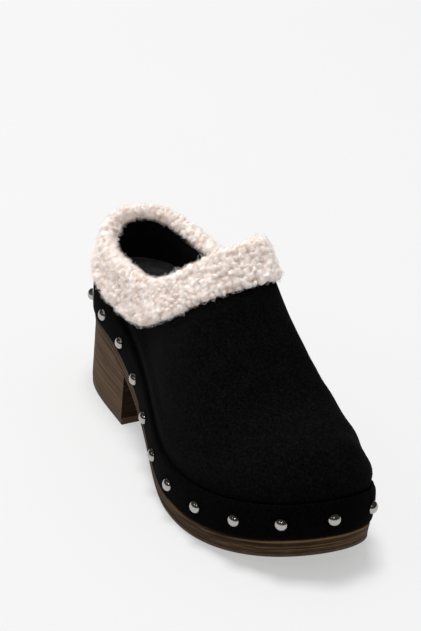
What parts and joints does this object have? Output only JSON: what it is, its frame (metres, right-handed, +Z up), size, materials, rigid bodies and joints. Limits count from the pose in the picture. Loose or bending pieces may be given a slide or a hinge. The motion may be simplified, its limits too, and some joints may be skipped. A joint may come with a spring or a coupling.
{
  "type": "clog shoe",
  "caption": "Right platform clog with a block heel, closed suede upper, studded rand and a fleece cuff round the collar.",
  "frame": {"origin": "bottom centre of the shoe's box, on the floor under its middle", "axes": "+X towards the toe, +Y towards the medial side (the wearer's left), +Z up"},
  "size_m": [0.2661, 0.1038, 0.1377],
  "materials": {
    "tread": "matt brown rubber",
    "wood_effect": "brown wood grain, satin",
    "suede": "black suede nap",
    "fleece": "cream curly fleece pile",
    "footbed": "dark grey lining",
    "studs": "polished"
  },
  "bodies": {
    "root": {"fleece_cuff": "fleece", "heel_block": "wood_effect", "insole": "footbed", "outsole": "tread", "platform": "wood_effect", "rand": "suede", "stud_01": "studs", "stud_02": "studs", "stud_03": "studs", "stud_04": "studs", "stud_05": "studs", "stud_06": "studs", "stud_07": "studs", "stud_08": "studs", "stud_09": "studs", "stud_10": "studs", "stud_11": "studs", "stud_12": "studs", "stud_13": "studs", "stud_14": "studs", "stud_15": "studs", "stud_16": "studs", "stud_17": "studs", "stud_18": "studs", "stud_19": "studs", "stud_20": "studs", "stud_21": "studs", "stud_22": "studs", "stud_23": "studs", "top_lift": "tread", "upper": "suede"}
  },
  "joints": []
}
